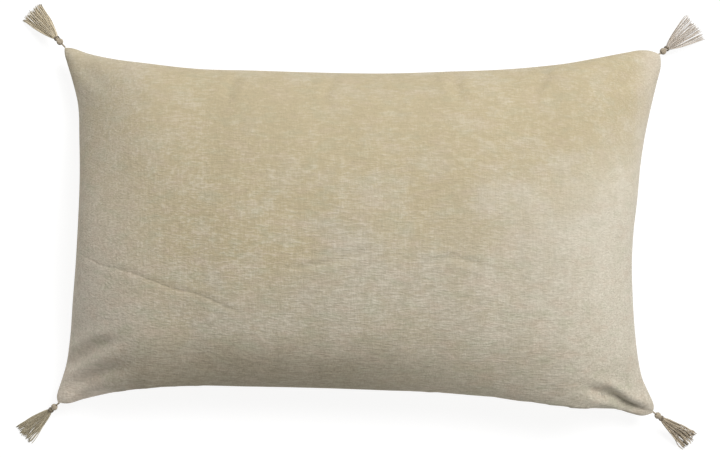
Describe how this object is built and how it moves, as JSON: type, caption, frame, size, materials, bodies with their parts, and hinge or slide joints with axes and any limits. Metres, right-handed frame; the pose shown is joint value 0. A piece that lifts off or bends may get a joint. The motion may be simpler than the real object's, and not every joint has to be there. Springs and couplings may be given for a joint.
{
  "type": "throw pillow",
  "caption": "Rectangular lumbar throw pillow: plump velvet cover with knife-edge seams, a concealed zip along the bottom seam, a yarn tassel at each corner and a removable inner cushion.",
  "frame": {"origin": "middle of the flat patch of the back panel that rests on a surface, at that surface", "axes": "+X along the length to the right as seen from the front, +Y towards the top seam, +Z out of the front face"},
  "size_m": [0.5603, 0.3614, 0.118],
  "materials": {
    "velvet": "short-pile cotton velvet, beige",
    "ticking": "plain-woven cotton casing, off-white",
    "fibre": "polyester fibre filling, white",
    "zip_tape": "woven polyester tape, beige",
    "zip_coil": "nylon coil, beige",
    "zip_metal": "painted die-cast metal, beige",
    "cord": "twisted cotton cord, beige",
    "yarn": "loose cotton yarn, beige grey",
    "binding": "wound cotton thread, darker beige",
    "label": "blank satin ribbon, off-white"
  },
  "bodies": {
    "root": {"cover_front": "velvet", "cover_back": "velvet", "ticking_front": "ticking", "ticking_back": "ticking", "insert_fill": "fibre", "zip_tape_front": "zip_tape", "zip_tape_back": "zip_tape", "zip_coil_front": "zip_coil", "zip_coil_back": "zip_coil", "zip_stop_closed": "zip_metal", "zip_stop_open": "zip_metal", "care_label": "label", "tassel_tl_anchor": "cord", "tassel_tr_anchor": "cord", "tassel_bl_anchor": "cord", "tassel_br_anchor": "cord"},
    "slider": {"zip_slider": "zip_metal"},
    "pull_tab": {"zip_pull_tab": "zip_metal"},
    "link_tl": {"tassel_tl_loop": "cord"},
    "tassel_tl": {"tassel_tl_head": "yarn", "tassel_tl_binding": "binding", "tassel_tl_skirt": "yarn"},
    "link_tr": {"tassel_tr_loop": "cord"},
    "tassel_tr": {"tassel_tr_head": "yarn", "tassel_tr_binding": "binding", "tassel_tr_skirt": "yarn"},
    "link_bl": {"tassel_bl_loop": "cord"},
    "tassel_bl": {"tassel_bl_head": "yarn", "tassel_bl_binding": "binding", "tassel_bl_skirt": "yarn"},
    "link_br": {"tassel_br_loop": "cord"},
    "tassel_br": {"tassel_br_head": "yarn", "tassel_br_binding": "binding", "tassel_br_skirt": "yarn"}
  },
  "joints": [
    {"name": "zip_slide", "type": "slide", "parent": "root", "child": "slider", "axis": [-1, 0, 0], "range_m": [0, 0.2654]},
    {"name": "pull_tab_swing", "type": "hinge", "parent": "slider", "child": "pull_tab", "pos_m": [0.1207, -0.1283, 0.05], "axis": [0, 0, 1], "range_deg": [0, 175]},
    {"name": "sway_tl", "type": "hinge", "parent": "root", "child": "link_tl", "pos_m": [-0.24318, 0.14592, 0.024], "axis": [0, 0, 1], "range_deg": [-50, 50]},
    {"name": "lift_tl", "type": "hinge", "parent": "link_tl", "child": "tassel_tl", "pos_m": [-0.24717, 0.14991, 0.02183], "axis": [0.7071, 0.7071, 0], "range_deg": [-55, 100]},
    {"name": "sway_tr", "type": "hinge", "parent": "root", "child": "link_tr", "pos_m": [0.24317, 0.14594, 0.024], "axis": [0, 0, 1], "range_deg": [-50, 50]},
    {"name": "lift_tr", "type": "hinge", "parent": "link_tr", "child": "tassel_tr", "pos_m": [0.24762, 0.14941, 0.02183], "axis": [0.6157, -0.788, 0], "range_deg": [-55, 100]},
    {"name": "sway_bl", "type": "hinge", "parent": "root", "child": "link_bl", "pos_m": [-0.24315, -0.14598, 0.024], "axis": [0, 0, 1], "range_deg": [-50, 50]},
    {"name": "lift_bl", "type": "hinge", "parent": "link_bl", "child": "tassel_bl", "pos_m": [-0.24734, -0.14975, 0.02183], "axis": [-0.6691, 0.7431, 0], "range_deg": [-55, 100]},
    {"name": "sway_br", "type": "hinge", "parent": "root", "child": "link_br", "pos_m": [0.24314, -0.14599, 0.024], "axis": [0, 0, 1], "range_deg": [-50, 50]},
    {"name": "lift_br", "type": "hinge", "parent": "link_br", "child": "tassel_br", "pos_m": [0.24765, -0.14938, 0.02183], "axis": [-0.6018, -0.7986, 0], "range_deg": [-55, 100]}
  ]
}
